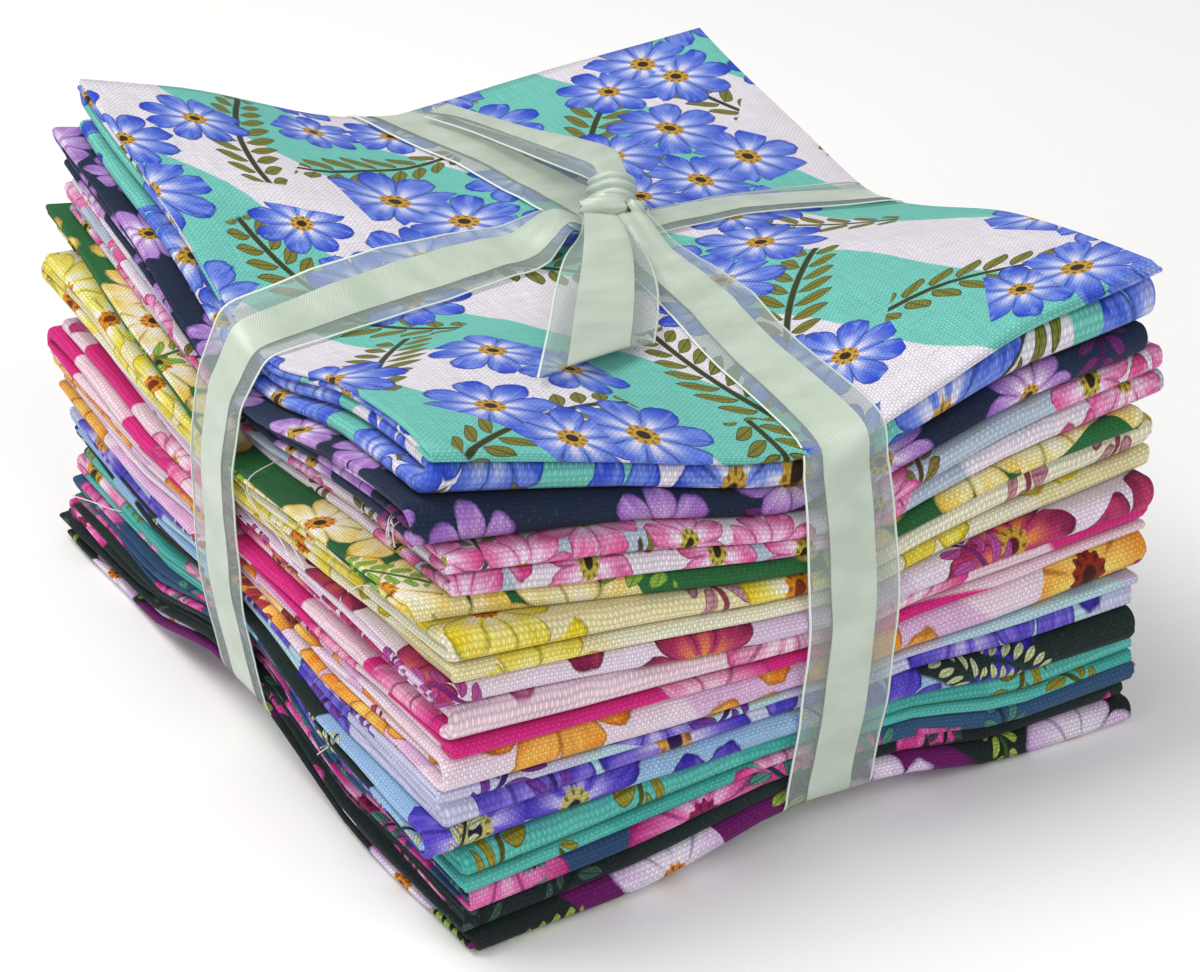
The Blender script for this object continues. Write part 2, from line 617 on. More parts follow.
def loop_points(across, along, route, knot_lift, cross_lift, seed):
    """The grid of a loop of ribbon: its columns lie across it, with one row for each angle."""
    degrees = np.degrees(loop_angles)
    at, *columns = np.array(route, float).T
    middle, part, far_edge_out = (np.interp(degrees, at, column) for column in columns)
    gathered = np.clip((1 - part) / 0.5, 0, 1)[:, None]
    # Where the ribbon is gathered, its sheer bands fold under and the satin takes up the room.
    flat_place = np.linspace(0, 1, RIBBON_COLUMNS)[None, :]
    tuck = TUCK * gathered
    left_band = flat_place / SHEER_SHARE * (SHEER_SHARE - tuck)
    right_band = 1 - (1 - flat_place) / SHEER_SHARE * (SHEER_SHARE - tuck)
    satin_part = (flat_place - SHEER_SHARE) / SATIN_SHARE * (SATIN_SHARE + 2 * tuck)
    place = np.where(flat_place > 1 - SHEER_SHARE, right_band, SHEER_SHARE - tuck + satin_part)
    place = np.where(flat_place < SHEER_SHARE, left_band, place) - 0.5
    slices = np.arange(SLICES_FROM, SLICES_TO, SLICE_STEP)
    wraps = wrap_distances(across, along, slices, RIBBON_CLEAR)
    across_at = middle[:, None] + part[:, None] * RIBBON_WIDTH * place
    cell = np.clip((across_at - slices[0]) / SLICE_STEP, 0, len(slices) - 1.001)
    low = cell.astype(int)
    rows = np.arange(len(degrees))[:, None]
    reach = wraps[low, rows] * (1 - cell + low) + wraps[low + 1, rows] * (cell - low)
    crown = np.cos(math.pi * place) ** 0.8 + 0.1 * np.cos(2 * math.pi * (3.2 * place + 0.2))
    near_knot = knot_lift * bell((degrees - KNOT_ANGLE) / 9.0)[:, None]
    crossing = cross_lift * bell((degrees - CROSSING_ANGLE) / 20.0)[:, None]
    reach = reach + gathered * GATHERED_RISE * np.maximum(crown, 0) + near_knot + crossing
    reach = reach + far_edge_out[:, None] * (0.5 + place) ** 1.2
    reach = reach + RIBBON_WANDER * (1 + wander(seed, rows * 0.8, place * 15, 13.0))
    points = np.zeros(across_at.shape + (3,))
    points[..., across] = across_at
    points[..., along] = reach * np.cos(loop_angles)[:, None]
    points[..., 2] = np.maximum(LOOP_MIDDLE + reach * np.sin(loop_angles)[:, None], 0.4)
    return points


def ribbon_flat(points):
    """UV places on the flat ribbon in metres: along its length, and across its width."""
    rows, columns = points.shape[:2]
    steps = np.linalg.norm(np.diff(points[:, columns // 2], axis=0), axis=1)
    length = np.concatenate([[0], np.cumsum(steps)]) * MM
    width = np.linspace(0, RIBBON_WIDTH * MM, columns)
    return np.stack(np.broadcast_arrays(length[:, None], width[None, :]), -1)


ribbon_pieces = []


def ribbon_piece(name, points, seen_from):
    """A piece of ribbon through a grid of points, with its first side facing seen_from."""
    flat = ribbon_flat(points)
    points, flat = outward(points, flat, np.array(seen_from))
    piece = closed_sheet(name, points, flat, RIBBON_THICKNESS)
    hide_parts("ribbon")
    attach(piece, "root")
    ribbon_pieces.append(piece)


print("loops in", len(loop_angles), "steps")

# %% Two loops
FRONT_ROUTE = [
    # angle from the back over the top to the front: middle, part of the width, far edge lift
    (0, 4.0, 1, 0), (20, 4.0, 1, 0), (36, 9.4, 1, 0), (50, 10.8, 1, 0), (63, 11.5, 0.95, 0),
    (76, 11.0, 0.8, 0), (84, 10.4, 0.68, 0), (90, 9.5, 0.5, 0),
    (100, 9.2, 0.63, 0), (110, 8.8, 0.75, 0), (120, 8.4, 0.8, 0), (131, 7.5, 0.9, 0),
    (145, 4.4, 0.87, 0), (155, 3.3, 0.83, 0), (160, 2.4, 0.9, 0), (166, 2.4, 0.96, 0),
    (180, 2.2, 1, 0), (200, 1.0, 1, 0), (215, 2.5, 1, 0), (360, 4.0, 1, 0),
]
SIDE_ROUTE = [
    # angle from the right over the top to the left: middle, part of the width, far edge lift
    (0, 2.2, 1, 0), (24, 3.2, 0.93, 0), (43, 5.0, 0.67, 0), (67, 4.5, 0.55, 0), (88, 5.8, 0.52, 0),
    (94, 4.6, 0.7, 0.4), (100, 4.2, 0.86, 1.2), (110, 4.5, 0.84, 2.5), (120, 3.6, 0.86, 3.4),
    (130, 2.9, 0.95, 4.2), (140, 2.2, 1, 3.6), (150, 1.0, 1, 1.6), (157, 0.4, 1, 0.6), (172, 0.9, 1, 0.5),
    (190, 0.8, 1, 0.2), (205, -3.0, 1, 0), (225, 0, 1, 0), (290, 1, 1, 0), (360, 2.2, 1, 0),
]
ribbon_piece("ribbon_front_loop", loop_points(0, 1, FRONT_ROUTE, 3.0, 0.0, 301), (0, 0, -1))
ribbon_piece("ribbon_side_loop", loop_points(1, 0, SIDE_ROUTE, 3.5, 0.6, 302), (0, 0, -1))
print("two loops")

# %% [markdown]
# ## Ends and knot
# The free ends and the knot don't follow the cloth, so they are laid by hand. Four guide lines
# run down each end: the two outer edges and the two borders of the satin. Points between them are
# filled in along smooth curves. The knot is made of four short turns. Each is a strip that runs
# over part of an oval, drawn together into soft ridges.

# %% Laid ends
GUIDES_ACROSS = [0.0, SHEER_SHARE, 1 - SHEER_SHARE, 1.0]


def laid_strip(guides, rows, ripple):
    """A strip through four guide lines, with a slight ripple across it."""
    lines = [smooth_line(line, rows) for line in guides]
    across = np.linspace(0, 1, RIBBON_COLUMNS)
    points = np.zeros((rows, RIBBON_COLUMNS, 3))
    for row in range(rows):
        corners = np.array([line[row] for line in lines])
        for axis in range(3):
            points[row, :, axis] = np.interp(across, GUIDES_ACROSS, corners[:, axis])
    # The four straight parts are blended, so that the strip bends softly across its width.
    for _ in range(6):
        points[:, 1:-1] = 0.5 * points[:, 1:-1] + 0.25 * (points[:, :-2] + points[:, 2:])
    down = np.linspace(0, 1, rows)[:, None]
    points[..., 2] += ripple * np.sin(across[None, :] * 11 + down * 5) * np.sin(math.pi * down)
    return points


tail_guides = [
    [(3.0, 2.4, 70.0), (-0.2, -1.7, 69.2), (-5.3, -5.8, 68.3), (-12.3, -14.8, 68.1),
     (-20.8, -27.6, 70.2), (-33.4, -46.1, 73.3)],
    [(2.7, 2.1, 71.2), (-1.3, -4.6, 70.5), (-5.3, -11.1, 69.6), (-10.5, -18.7, 69.2),
     (-17.9, -29.9, 70.7), (-26.9, -43.6, 72.4)],
    [(7.1, -1.4, 70.9), (5.4, -7.2, 70.3), (2.4, -13.3, 69.5), (-2.9, -22.0, 68.7),
     (-8.0, -29.7, 68.5), (-12.6, -36.4, 68.6)],
    [(7.9, -0.3, 69.7), (7.0, -6.1, 69.1), (6.1, -11.4, 68.2), (2.4, -20.2, 67.9),
     (-2.5, -28.3, 67.7), (-7.5, -35.3, 67.4)],
]
back_guides = [
    [(6.9, 61.1, 64.9), (9.2, 51.0, 65.6), (10.1, 38.9, 66.9), (10.1, 24.7, 69.1), (8.9, 11.9, 71.9),
     (8.2, 8.2, 72.5), (8.6, 6.2, 71.4)],
    [(8.3, 62.1, 65.0), (11.1, 56.2, 65.8), (12.8, 43.5, 67.3), (13.0, 28.1, 69.8), (11.0, 13.8, 73.2),
     (9.4, 9.0, 73.7), (9.6, 6.2, 72.2)],
    [(13.7, 64.3, 64.9), (15.4, 53.9, 65.9), (17.3, 41.7, 67.6), (18.7, 27.2, 70.9), (17.4, 15.7, 73.8),
     (15.3, 9.4, 73.4), (14.1, 5.4, 70.8)],
    [(10.2, 64.3, 64.5), (11.3, 54.9, 65.2), (13.0, 43.7, 66.5), (13.3, 29.3, 69.1), (12.0, 15.8, 71.8),
     (11.4, 9.0, 72.0), (11.4, 6.2, 70.2)],
]
ribbon_piece("ribbon_tail", laid_strip(tail_guides, 70, 0.12), (0, 0, 1))
ribbon_piece("ribbon_back_end", laid_strip(back_guides, 90, 0.15), (0, 0, 1))
print("two free ends")

# %% Turns of the knot
view_right = np.array([0.856, -0.516, 0.0])
view_front = np.array([-0.516, -0.856, 0.0])
view_up = np.array([0.0, 0.0, 1.0])
TURN_ROWS, TURN_COLUMNS = 60, 41


def knot_turn(centre, side, rise, axis, start, end, ridges, ridge_height, taper):
    """A gathered strip over part of an oval, given by two half axes and the width's half axis."""
    angles = np.radians(np.linspace(start, end, TURN_ROWS))[:, None]
    across = np.linspace(-1, 1, TURN_COLUMNS)[None, :]
    swell = 1 - taper * across**2
    ridge = ridge_height * np.abs(np.cos(across * ridges * math.pi / 2 + 0.35 * np.sin(angles * 2)))
    grow = swell + ridge
    centre, side, rise, axis = (np.array(v, float) for v in (centre, side, rise, axis))
    return (
        centre
        + (np.cos(angles) * grow)[..., None] * side
        + (np.sin(angles) * grow)[..., None] * rise
        + (across + 0.06 * np.sin(angles * 3))[..., None] * axis
    )


KNOT_TURNS = [
    # centre, side and rise of the oval, half of the width, angles, ridges, their height, taper
    ((9.6, 5.2, 69.4), view_right * 2.9, view_up * 2.8, view_front * 3.4 - view_up * 1.0,
     -178, 178, 2, 0.06, 0.85),
    ((11.1, 7.4, 70.8), view_right * 3.4, np.array([-1.1, -1.9, 2.2]), np.array([-0.85, -1.4, -1.7]),
     -25, 205, 3, 0.17, 0.2),
    ((7.6, 4.2, 70.0), view_front * 1.7, view_up * 1.8, view_right * 3.5, -80, 200, 1, 0.0, 0.5),
    ((12.2, 3.0, 68.4), np.array([0.2, -1.9, 0.0]), view_up * 2.1, np.array([1.2, 0.15, 0.0]),
     -70, 200, 2, 0.1, 0.25),
]
knot_parts = []
for number, turn in enumerate(KNOT_TURNS):
    points = knot_turn(*turn)
    flat = ribbon_flat(points)
    # The sheer bands are folded inside the knot, so only the satin of the flat ribbon shows.
    flat = np.stack([flat[..., 0], 0.3 * RIBBON_WIDTH * MM + 0.4 * flat[..., 1]], -1)
    middle = points[TURN_ROWS // 2, TURN_COLUMNS // 2]
    points, flat = outward(points, flat, middle - turn[0])
    knot_parts.append(closed_sheet(f"turn_{number}", points, flat, RIBBON_THICKNESS))
for part in knot_parts:
    part.select_set(True)
bpy.context.view_layer.objects.active = knot_parts[0]
bpy.ops.object.join()
knot = bpy.context.object
knot.name = "ribbon_knot"
knot.select_set(False)
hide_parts("ribbon")
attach(knot, "root")
ribbon_pieces.append(knot)
print(len(ribbon_pieces), "ribbon pieces")

# %% [markdown]
# ## Drawing a print with nodes
# Printed cotton has three layers to copy: a ground colour, motifs scattered over it, and the weave
# that breaks both up into threads. Each is one node group, built once and used by all fourteen
# cloths with other colours and sizes. All of them read the flat cloth's place in millimetres, so
# the print is folded with the cloth. A small helper lets a tree of nodes be written as a formula.

# %% Node helper
class Value:
    """A number, colour or vector on its way through a tree. Arithmetic on it adds nodes."""

    def __init__(self, graph, socket):
        self.graph, self.socket = graph, socket

    def __rsub__(self, number):
        return self.graph.math("SUBTRACT", number, self)

    def __rtruediv__(self, number):
        return self.graph.math("DIVIDE", number, self)

    def step(self, low, high):
        """0 at low and 1 at high, with a soft change between them."""
        return self.graph.put_fed(
            "ShaderNodeMapRange", (self, low, high), interpolation_type="SMOOTHSTEP")


# fit is the value times a number, plus another one. at_least is the larger of two values.
ARITHMETIC = {
    "__add__": "ADD", "__sub__": "SUBTRACT", "__mul__": "MULTIPLY", "__truediv__": "DIVIDE",
    "__pow__": "POWER", "__abs__": "ABSOLUTE", "__lt__": "LESS_THAN", "__gt__": "GREATER_THAN",
    "sine": "SINE", "cosine": "COSINE", "angle": "ARCTAN2", "sign": "SIGN", "ping_pong": "PINGPONG",
    "fit": "MULTIPLY_ADD", "at_least": "MAXIMUM",
}
for method, operation in ARITHMETIC.items():
    setattr(Value, method, lambda self, *others, kind=operation: self.graph.math(kind, self, *others))


class Graph:
    """Short names for adding shader nodes to a tree."""

    def __init__(self, tree):
        self.tree = tree

    def put(self, kind, **settings):
        node = self.tree.nodes.new(kind)
        for setting, value in settings.items():
            setattr(node, setting, value)
        return node

    def feed(self, socket, value):
        value = getattr(value, "socket", value)
        if isinstance(value, bpy.types.NodeSocket):
            self.tree.links.new(value, socket)
        else:
            socket.default_value = value

    def fill(self, node, values):
        """The node, after its inputs of those names get those values."""
        for socket, value in values.items():
            self.feed(node.inputs[socket], value)
        return node

    def put_fed(self, kind, values, **settings):
        """A new node with values for its first inputs, as the value of its first output."""
        node = self.put(kind, **settings)
        for socket, value in zip(node.inputs, values):
            self.feed(socket, value)
        return Value(self, node.outputs[0])

    def math(self, operation, *values):
        return self.put_fed("ShaderNodeMath", values, operation=operation)

    def join(self, x, y, z=0.0):
        return self.put_fed("ShaderNodeCombineXYZ", (x, y, z))

    def vector(self, operation, *values, scale=None, output="Vector"):
        node = self.put("ShaderNodeVectorMath", operation=operation)
        for socket, value in zip(node.inputs, values):
            self.feed(socket, value)
        if scale is not None:
            self.feed(node.inputs["Scale"], scale)
        return Value(self, node.outputs[output])

    def blend(self, part, first, second, kind="MIX"):
        node = self.put("ShaderNodeMix", data_type="RGBA", blend_type=kind)
        self.feed(node.inputs["Factor"], part)
        for socket, value in zip([s for s in node.inputs if s.type == "RGBA"], (first, second)):
            self.feed(socket, value)
        return Value(self, [s for s in node.outputs if s.type == "RGBA"][0])

    def noise(self, place, scale, detail=2.0):
        node = self.put("ShaderNodeTexNoise")
        self.fill(node, {"Vector": place, "Scale": scale, "Detail": detail})
        return Value(self, node.outputs[0])

    def parts(self, vector):
        node = self.put("ShaderNodeSeparateXYZ")
        self.feed(node.inputs[0], vector)
        return [Value(self, socket) for socket in node.outputs[:3]]

    def turned(self, vector, angle):
        """The vector turned round the Z axis."""
        node = self.put("ShaderNodeVectorRotate", rotation_type="Z_AXIS")
        self.fill(node, {"Vector": vector, "Angle": angle})
        return Value(self, node.outputs[0])


def group(name, inputs, outputs):
    """A new node group with its helper, its input values by name and its output node."""
    tree = bpy.data.node_groups.new(name, "ShaderNodeTree")
    for way, sockets in (("INPUT", inputs), ("OUTPUT", outputs)):
        for socket, kind in sockets.items():
            tree.interface.new_socket(socket, in_out=way, socket_type="NodeSocket" + kind)
    helper = Graph(tree)
    entry = helper.put("NodeGroupInput")
    given = {name: Value(helper, entry.outputs[name]) for name in inputs}
    return helper, given, helper.put("NodeGroupOutput")


FULL_TURN = 6.28


def scattered(helper, given, randomness):
    """Three chances for each of the cells scattered over the cloth, and the place from its middle."""
    cells = helper.put("ShaderNodeTexVoronoi", voronoi_dimensions="2D")
    scale = 1.0 / given["Spacing"]
    helper.fill(cells, {"Vector": given["Place"], "Scale": scale, "Randomness": randomness})
    chances = helper.parts(cells.outputs["Color"])
    return *chances, helper.vector("SUBTRACT", given["Place"], cells.outputs["Position"])


def new_material(name):
    """A material with its node helper and its surface node."""
    material = bpy.data.materials.new(name)
    material.use_nodes = True
    return material, Graph(material.node_tree), material.node_tree.nodes["Principled BSDF"]


def bump(tree, shader, height, strength, distance):
    """Roughens the surface by that height. distance is in metres."""
    node = tree.put("ShaderNodeBump")
    tree.fill(node, {"Strength": strength, "Distance": distance, "Height": height})
    tree.feed(shader.inputs["Normal"], node.outputs[0])


def rgb(red, green, blue):
    """A colour as seen on a screen, 0 to 255, turned into the renderer's own scale."""
    steps = (red, green, blue)
    return tuple(((c / 255 + 0.055) / 1.055) ** 2.4 if c > 10 else c / 3294.6 for c in steps) + (1,)


print("node helper ready")

# %% [markdown]
# ## Flowers
# Cells scattered over the cloth give each flower its middle, a turn and a size of its own. Petals
# come from a wave round the middle. Streaks run out from a pale star, a thin dark line parts the
# petals, and a ring of gold with a dark eye sits on top, as brush-painted daisies have.

# %% Flowers
helper, given, result = group(
    "Scattered flowers",
    {"Place": "Vector", "Spacing": "Float", "Radius": "Float", "Petals": "Float", "Share": "Float",
     "Tip": "Color", "Inner": "Color", "Star": "Color", "Ring": "Color", "Eye": "Color"},
    {"Color": "Color", "Cover": "Float"},
)
chance_turn, chance_size, chance_show, local = scattered(helper, given, 0.8)
local_x, local_y, _ = helper.parts(local)
size = given["Radius"] * chance_size.fit(0.35, 0.8)
angle = local_y.angle(local_x) + chance_turn * FULL_TURN
away = helper.vector("LENGTH", local, output="Value") / size
wobble = helper.noise(given["Place"], 0.45).fit(0.16, -0.08)
wave = abs((angle * (given["Petals"] * 0.5)).cosine())
reach = (wave**0.5).fit(0.42, 0.58) + wobble
inside = reach - away
shown = chance_show < given["Share"]
cover = inside.step(-0.01, 0.03) * shown
colour = helper.blend(away.step(0.3, 0.95), given["Inner"], given["Tip"])
streak_place = helper.join(angle * 5.0, away * 1.6, chance_size)
streak = helper.noise(streak_place, 1.0, 3.0).step(0.46, 0.62)
colour = helper.blend(streak * 0.7, colour, given["Inner"])
shadow = helper.noise(streak_place, 1.9, 3.0).step(0.5, 0.7) * 0.45
colour = helper.blend(shadow, colour, given["Tip"])
star = away.step(0.62, 0.2) * wave.step(0.5, 0.95)
colour = helper.blend(star * 0.85, colour, given["Star"])
parting = wave.step(0.32, 0.05) * away.step(0.2, 0.4)
edge = (parting * 0.9).at_least(inside.step(0.09, 0.02))
darker = helper.blend(1.0, given["Tip"], (0.42, 0.42, 0.5, 1), "MULTIPLY")
colour = helper.blend(edge * 0.8, colour, darker)
ring_edge = (angle * 13.0).sine().fit(0.02, 0.23)
colour = helper.blend((ring_edge - away).step(0.0, 0.02), colour, given["Ring"])
dots = (angle * 9.0).sine().step(0.2, 0.7) * abs(away - 0.17).step(0.045, 0.02)
eye = away.step(0.11, 0.08).at_least(dots * 0.7)
colour = helper.blend(eye, colour, given["Eye"])
helper.fill(result, {"Color": colour, "Cover": cover})
print("flowers:", len(helper.tree.nodes), "nodes")

# %% [markdown]
# ## Leaf sprigs
# A sprig is a curved stem with pairs of almond leaves. The same scattered cells give its place and
# direction. Folding the cloth's place over the stem, and repeating it along the stem, draws all
# the leaves with one shape.

# %% Leaf sprigs
helper, given, result = group(
    "Leaf sprigs",
    {"Place": "Vector", "Spacing": "Float", "Length": "Float", "Share": "Float",
     "Leaf": "Color", "Vein": "Color"},
    {"Color": "Color", "Cover": "Float"},
)
chance_turn, _, chance_show, local = scattered(helper, given, 0.7)
along, aside, _ = helper.parts(helper.turned(local, chance_turn * FULL_TURN))
along = along / given["Length"]
aside = aside / given["Length"]
aside = aside + along * along * 0.12
off = abs(aside)
inside_length = abs(along).step(0.98, 0.94)
stem = off.step(0.035, 0.02) * inside_length
slant = off.fit(-0.75, along)
spot = (slant + 0.04).ping_pong(0.21) - 0.105
leaf_long = abs(along).fit(-0.16, 0.3)
leaf_run = (off - 0.03) / leaf_long
bulge = leaf_run * (1.0 - leaf_run) * 0.33
inside = bulge - abs(spot)
leaf = inside.step(-0.002, 0.008) * inside_length
shown = chance_show < given["Share"]
cover = stem.at_least(leaf) * shown
veins = ((off + spot) * 190.0).sine().step(0.0, 0.8)
vein = abs(spot).step(0.012, 0.004).at_least(veins * 0.45)
rim = inside.step(0.022, 0.006)
mark = (vein * 0.7).at_least(rim).at_least(stem)
helper.fill(result, {"Color": helper.blend(mark, given["Leaf"], given["Vein"]), "Cover": cover})
print("sprigs:", len(helper.tree.nodes), "nodes")

# %% [markdown]
# ## Plain weave
# Quilting cotton is a plain weave of about 58 threads to the inch. Every thread is round across
# and rides up and down along its length, and the higher of warp and weft is the one that shows, so
# only the small gaps at the crossings are dark. Warp threads catch the light a little more than
# weft threads, which gives the diagonal grain, and each thread has a tone of its own.

# %% Plain weave
THREAD_PITCH = 25.4 / 58
helper, given, result = group(
    "Plain weave",
    {"Place": "Vector", "Print": "Color", "Contrast": "Float"},
    {"Color": "Color", "Height": "Float"},
)
place_x, place_y, _ = helper.parts(given["Place"])
bend = helper.noise(given["Place"], 0.12, 1.0).fit(0.8, -0.4)
warp = ((place_x + bend) * (math.pi / THREAD_PITCH)).sine()
weft = ((place_y + bend) * (math.pi / THREAD_PITCH)).sine()
over = warp * weft


def thread_height(own, other, side):
    """A round thread that rides up over its neighbours and dives under the next ones."""
    ride = (own.sign() * other).fit(side, 0.5)
    return abs(own) ** 0.5 * ride


pillow = thread_height(warp, weft, 0.5).at_least(thread_height(weft, warp, -0.5))
warp_tone = helper.noise(helper.join(place_x * 2.3, place_y * 0.12), 1.0)
weft_tone = helper.noise(helper.join(place_x * 0.12, place_y * 2.3), 1.0)
on_top = over > 0.0
tone = warp_tone * on_top + weft_tone * (1.0 - on_top)
light = pillow.fit(0.4, 0.62) + tone.fit(0.5, -0.25) + over * 0.11
light = (light - 1.0).fit(given["Contrast"], 1.0)
shade = helper.put("ShaderNodeCombineColor")
for socket in shade.inputs:
    helper.feed(socket, light)
threads = helper.blend(1.0, given["Print"], shade.outputs[0], "MULTIPLY")
lint = helper.noise(given["Place"], 1.9, 3.0).step(0.55, 0.8) * 0.035
helper.fill(result, {"Color": helper.blend(lint, threads, (0.9, 0.9, 0.92, 1)), "Height": pillow})
print("weave:", len(helper.tree.nodes), "nodes")

# %% [markdown]
# ## Fourteen prints
# The prints share a family look, so one function lays the groups over each other. Each row of the
# table gives a ground and its layers. The wrong side of printed cotton is paler, because the ink
# doesn't soak through, and the cut edges show it.

# %% Cotton
def cotton(name, turn, ground, second, band, layers):
    """A printed cotton. ground and second alternate in bands of that width, in millimetres."""
    material, tree, shader = new_material(name)
    uv = tree.put("ShaderNodeUVMap", uv_map="flat cloth")
    threads = tree.vector("SCALE", uv.outputs[0], scale=1000.0)
    place = tree.turned(threads, math.radians(turn))
    place_y = tree.parts(place)[1]
    bend = tree.noise(place, 0.02, 1.0).fit(14.0, place_y)
    stripe = (bend * (math.pi / band)).sine()
    colour = tree.blend(stripe.step(-0.04, 0.04), rgb(*ground), rgb(*second))
    cloud = tree.noise(place, 0.08, 3.0)
    colour = tree.blend(cloud * 0.16, colour, tree.blend(1.0, colour, colour, "MULTIPLY"))
    for number, (kind, spacing, reach, share, *colours) in enumerate(layers):
        stamp = tree.put("ShaderNodeGroup", node_tree=bpy.data.node_groups[kind])
        # Each layer starts somewhere else, so that its cells don't lie on those of the others.
        moved = tree.vector("ADD", place, (37.0 * number + 11.0 * turn, 53.0 * number, 0.0))
        tree.fill(stamp, {"Place": moved, "Spacing": spacing, "Share": share})
        if kind == FLOWERS:
            tree.fill(stamp, {"Radius": reach, "Petals": PETALS})
            names = ("Tip", "Inner", "Star", "Ring", "Eye")
        else:
            tree.fill(stamp, {"Length": reach})
            names = ("Leaf", "Vein")
        tree.fill(stamp, dict(zip(names, (rgb(*value) for value in colours))))
        colour = tree.blend(stamp.outputs["Cover"], colour, stamp.outputs["Color"])
    back = tree.put("ShaderNodeAttribute", attribute_name="wrong_side")
    colour = tree.blend(tree.math("MULTIPLY", back.outputs["Fac"], 0.35), colour, (0.8, 0.8, 0.82, 1))
    weave = tree.put("ShaderNodeGroup", node_tree=bpy.data.node_groups["Plain weave"])
    tree.fill(weave, {"Place": threads, "Print": colour, "Contrast": 1.35})
    tree.feed(shader.inputs["Base Color"], weave.outputs["Color"])
    threads_up = Value(tree, weave.outputs["Height"])
    tree.feed(shader.inputs["Roughness"], threads_up.fit(-0.12, 0.9))
    shader.inputs["Sheen Weight"].default_value = 0.04
    shader.inputs["Sheen Roughness"].default_value = 0.5
    shader.inputs["Specular IOR Level"].default_value = 0.25
    soft = tree.noise(threads, 0.16, 3.0) * 3.0
    bump(tree, shader, threads_up + soft, 0.55, 0.00012)
    return material


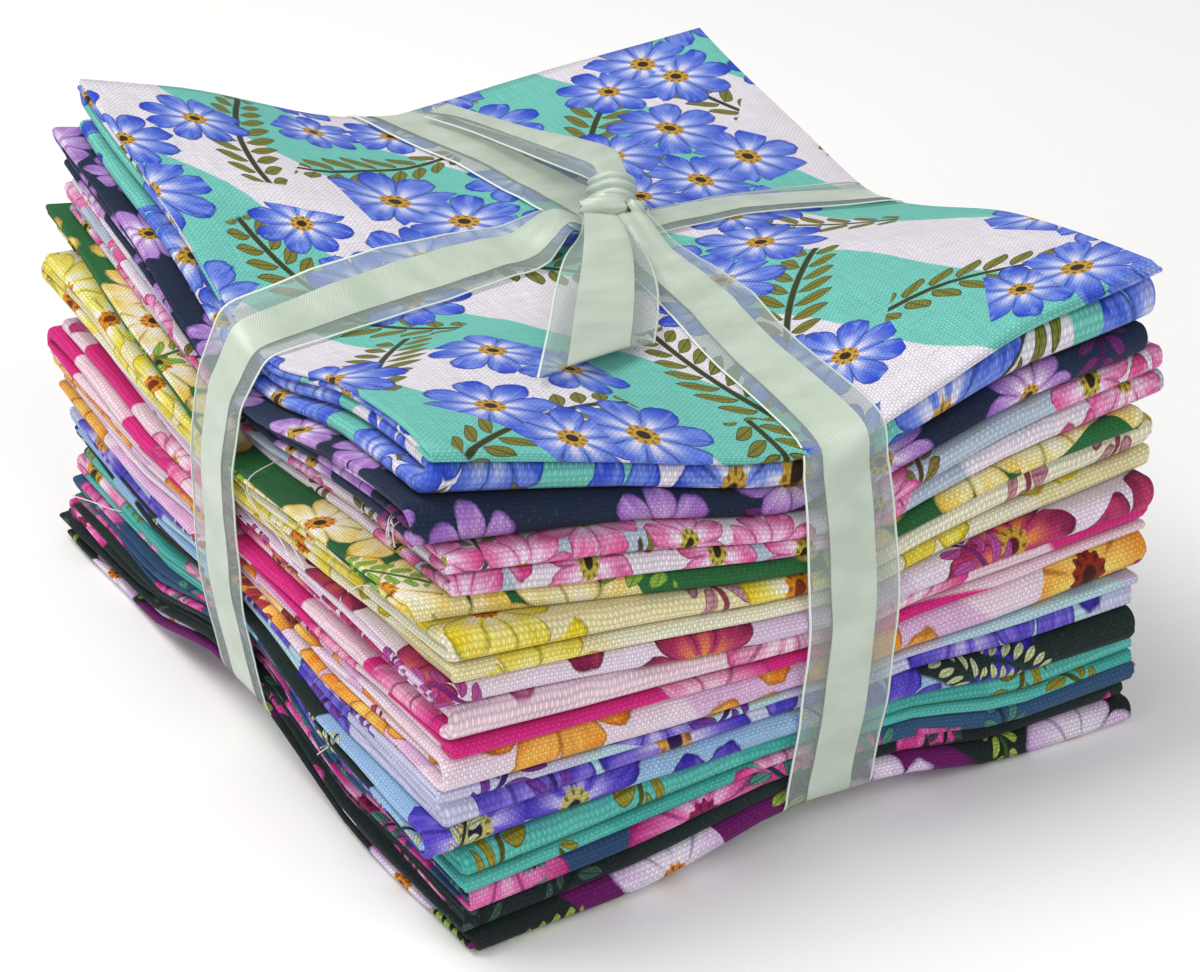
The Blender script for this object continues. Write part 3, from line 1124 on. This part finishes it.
FLOWERS, SPRIGS, PETALS = "Scattered flowers", "Leaf sprigs", 8.0
WHITE, GOLD, BROWN = (245, 240, 250), (205, 160, 60), (50, 35, 15)
OLIVE, DARK_OLIVE = (130, 130, 50), (55, 60, 20)
PRINTS = [
    # turn in degrees, ground, second ground, band width, and layers from the lowest up: the
    # flowers' spacing, radius, share of the cells, and the colours of tip, inner part, star, ring
    # and eye, or the sprigs' spacing, half length, share of the cells, and leaf and vein
    (62, (234, 229, 238), (118, 204, 192), 20, [
        (SPRIGS, 34.0, 19.0, 0.8, OLIVE, DARK_OLIVE),
        (FLOWERS, 16.5, 10.2, 0.7, (38, 74, 208), (128, 156, 238), WHITE, GOLD, BROWN),
    ]),
    (20, (22, 38, 66), (28, 46, 76), 45, [
        (SPRIGS, 26.0, 15.0, 0.7, (120, 40, 115), (75, 20, 80)),
        (FLOWERS, 15.0, 8.2, 0.6, (158, 105, 195), (205, 165, 225), WHITE, GOLD, BROWN),
    ]),
    (48, (186, 200, 216), (236, 226, 236), 26, [
        (SPRIGS, 25.0, 14.0, 0.6, (135, 120, 60), (80, 65, 25)),
        (FLOWERS, 13.5, 7.6, 0.7, (222, 70, 140), (246, 175, 220), WHITE, (195, 180, 70), BROWN),
    ]),
    (75, (34, 98, 52), (40, 110, 58), 40, [
        (FLOWERS, 20.0, 12.5, 0.7, (240, 205, 80), (245, 240, 190), WHITE, (225, 150, 30), BROWN),
        (SPRIGS, 26.0, 14.0, 0.5, (150, 190, 70), (60, 120, 40)),
    ]),
    (30, (240, 236, 212), (238, 228, 180), 34, [
        (SPRIGS, 30.0, 17.0, 0.45, (200, 150, 160), (140, 60, 80)),
        (FLOWERS, 19.0, 11.5, 0.66, (232, 208, 30), (248, 238, 130), WHITE, (225, 140, 20),
         (120, 50, 20)),
    ]),
    (55, (228, 204, 232), (238, 222, 238), 32, [
        (FLOWERS, 24.0, 13.0, 0.5, (130, 20, 70), (200, 60, 110), (240, 150, 60), GOLD, (90, 10, 30)),
        (SPRIGS, 28.0, 14.0, 0.4, (190, 80, 160), (120, 30, 110)),
    ]),
    (12, (242, 216, 228), (222, 40, 135), 22, [
        (FLOWERS, 24.0, 12.0, 0.35, (225, 60, 145), (248, 190, 215), WHITE, GOLD, BROWN),
    ]),
    (38, (228, 190, 226), (240, 222, 236), 30, [
        (FLOWERS, 24.0, 13.5, 0.5, (236, 140, 30), (250, 195, 90), (250, 225, 120), (140, 40, 20),
         (60, 10, 10)),
        (SPRIGS, 30.0, 16.0, 0.45, (190, 60, 75), (130, 25, 45)),
    ]),
    (68, (206, 206, 234), (190, 222, 232), 28, [
        (FLOWERS, 22.0, 12.5, 0.55, (66, 50, 185), (140, 120, 225), (230, 220, 250), (225, 160, 70),
         (40, 15, 80)),
        (SPRIGS, 26.0, 14.0, 0.4, (120, 60, 170), (60, 25, 110)),
    ]),
    (25, (160, 196, 232), (24, 44, 40), 30, [
        (FLOWERS, 20.0, 11.0, 0.5, (48, 28, 165), (110, 90, 220), (210, 200, 250), (200, 190, 110),
         (20, 10, 60)),
        (SPRIGS, 17.0, 9.0, 0.7, (215, 220, 170), (20, 50, 35)),
    ]),
    (50, (78, 184, 174), (96, 196, 186), 33, [
        (SPRIGS, 22.0, 13.0, 0.6, (160, 150, 45), (80, 85, 20)),
        (FLOWERS, 23.0, 12.0, 0.4, (225, 60, 150), (248, 190, 220), WHITE, GOLD, BROWN),
    ]),
    (15, (44, 78, 118), (52, 90, 128), 26, [
        (FLOWERS, 22.0, 13.0, 0.5, (190, 35, 125), (240, 120, 190), (250, 200, 230), (150, 20, 90),
         (90, 0, 50)),
        (SPRIGS, 24.0, 13.0, 0.5, (80, 150, 130), (20, 50, 70)),
    ]),
    (70, (20, 36, 38), (26, 44, 44), 30, [
        (FLOWERS, 26.0, 12.0, 0.4, (205, 40, 135), (245, 130, 200), (250, 210, 235), (150, 20, 90),
         (90, 0, 50)),
        (SPRIGS, 26.0, 13.0, 0.5, (60, 90, 80), (12, 24, 24)),
    ]),
    (40, (22, 36, 36), (112, 12, 104), 42, [
        (SPRIGS, 20.0, 12.0, 0.7, (180, 202, 84), (60, 90, 30)),
        (FLOWERS, 24.0, 11.0, 0.45, (225, 190, 235), (245, 235, 250), WHITE, (235, 140, 40), BROWN),
    ]),
]
for index, (cloth, (turn, ground, second, band, layers)) in enumerate(zip(cloths, PRINTS)):
    material = cotton(f"printed cotton {index + 1}", turn, ground, second, band, layers)
    cloth.data.materials.append(material)
print(len(PRINTS), "prints")

# %% Thread material
material, tree, shader = new_material("undyed thread")
place = tree.vector("SCALE", tree.put("ShaderNodeTexCoord").outputs["Object"], scale=1000.0)
fibre = tree.blend(tree.noise(place, 0.8), rgb(196, 188, 192), rgb(240, 236, 238))
tree.feed(shader.inputs["Base Color"], fibre)
shader.inputs["Roughness"].default_value = 0.85
shader.inputs["Sheen Weight"].default_value = 0.1
for _, thread in loose_threads:
    thread.data.materials.append(material)
print("thread material on", len(loose_threads), "threads")

# %% [markdown]
# ## Ribbon material
# Across its width the ribbon is edge, sheer, satin, sheer, edge. The satin is a fine twill that
# throws a soft shine. The sheer bands are a net of fine threads: most of the light goes through
# them, and the print under them shows in paler tones.

# %% Ribbon material
TWILL_PITCH, NET_PITCH = 0.46, 0.38
material, tree, shader = new_material("sheer-edged satin")
uv = tree.put("ShaderNodeUVMap", uv_map="flat cloth")
place = tree.vector("SCALE", uv.outputs[0], scale=1000.0)
length, width, _ = tree.parts(place)
from_middle = abs(width - RIBBON_WIDTH / 2)
satin = from_middle.step(3.75, 3.6)
edge_line = from_middle.step(7.15, 7.22)
twill = ((length + width) * (2 * math.pi / TWILL_PITCH)).sine()
ribs = (width * (2 * math.pi / NET_PITCH)).sine()
net = ribs * (length * (2 * math.pi / NET_PITCH)).sine()
drift = tree.noise(tree.vector("MULTIPLY", place, (0.16, 0.09, 1.0)), 1.0)
satin_colour = tree.blend(drift.step(0.3, 0.7), rgb(184, 197, 181), rgb(208, 218, 204))
satin_colour = tree.blend(twill.fit(0.3, 0.3), satin_colour, rgb(160, 180, 160))
colour = tree.blend(satin, rgb(176, 192, 186), satin_colour)
colour = tree.blend(edge_line, colour, rgb(224, 236, 224))
tree.feed(shader.inputs["Base Color"], colour)
sheer = net.fit(0.05, 0.24) + ribs.step(0.4, 0.9) * 0.13
tree.feed(shader.inputs["Alpha"], satin.at_least(edge_line).at_least(sheer))
tree.feed(shader.inputs["Roughness"], satin.fit(-0.32, 0.6))
shader.inputs["Sheen Weight"].default_value = 0.25
shader.inputs["Sheen Roughness"].default_value = 0.35
shader.inputs["Anisotropic"].default_value = 0.4
shader.inputs["Specular IOR Level"].default_value = 0.95
bump(tree, shader, (twill + drift * 2.0) * satin, 0.35, 0.00005)
for piece in ribbon_pieces:
    piece.data.materials.append(material)
print("ribbon material on", len(ribbon_pieces), "pieces")
